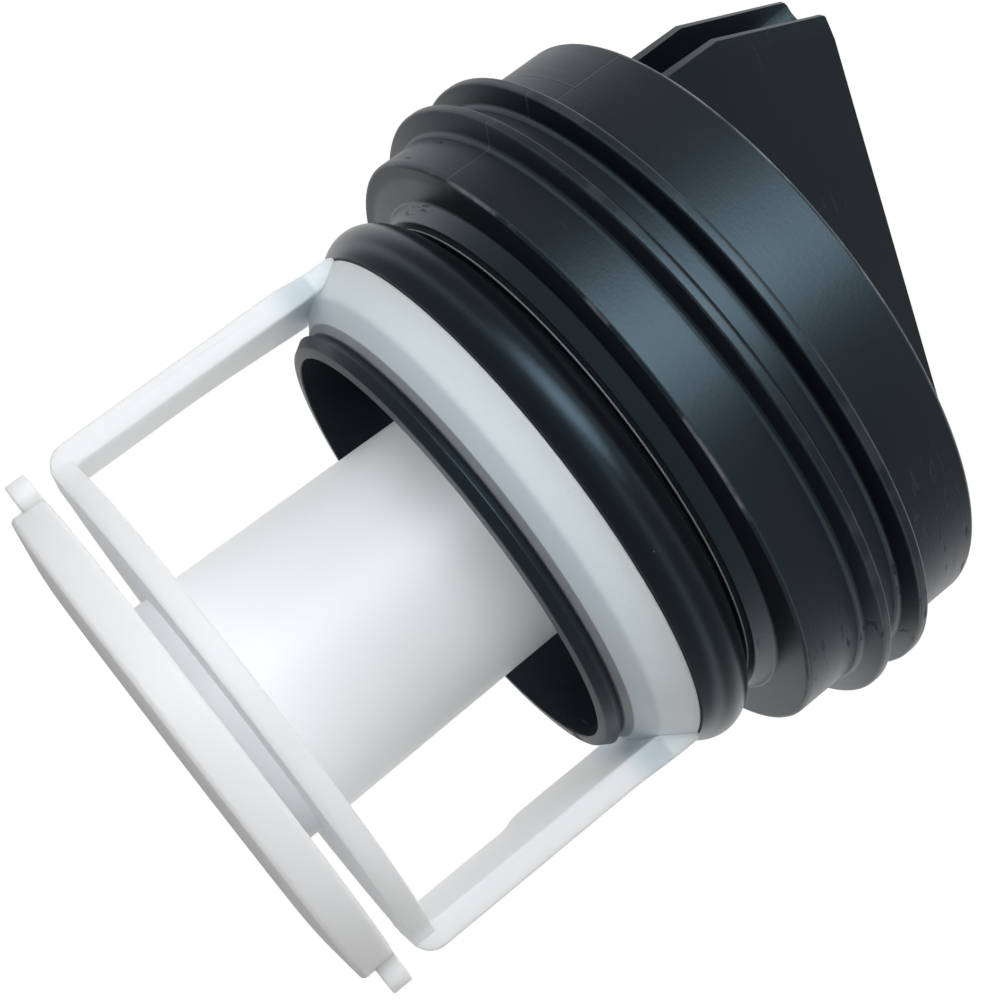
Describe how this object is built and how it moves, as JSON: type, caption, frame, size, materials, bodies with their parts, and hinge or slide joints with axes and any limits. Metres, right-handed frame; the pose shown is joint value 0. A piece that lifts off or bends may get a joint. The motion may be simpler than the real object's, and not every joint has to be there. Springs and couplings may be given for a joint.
{
  "type": "washing machine drain filter",
  "caption": "Drain filter: a threaded screw cap with finger grip, cup and rubber seal turns in the snap ring of a white insert with arms, post and keyed end disc.",
  "frame": {"origin": "centre of the flat foot under the end disc, on the cap's turning axis", "axes": "+Z along the turning axis from the end disc to the finger grip, +X and -X through the two arms of the insert"},
  "size_m": [0.0752, 0.0753, 0.0925],
  "materials": {
    "black_plastic": "satin moulded polypropylene",
    "seal_rubber": "smooth moulded rubber",
    "white_plastic": "satin natural polypropylene, slightly translucent"
  },
  "bodies": {
    "insert": {"filter_insert": "white_plastic"},
    "cap": {"threaded_cap": "black_plastic", "sealing_ring": "seal_rubber"}
  },
  "joints": [
    {"name": "cap_turn", "type": "hinge", "parent": "insert", "child": "cap", "pos_m": [0, 0, 0.0384], "axis": [0, 0, 1], "continuous": true}
  ]
}
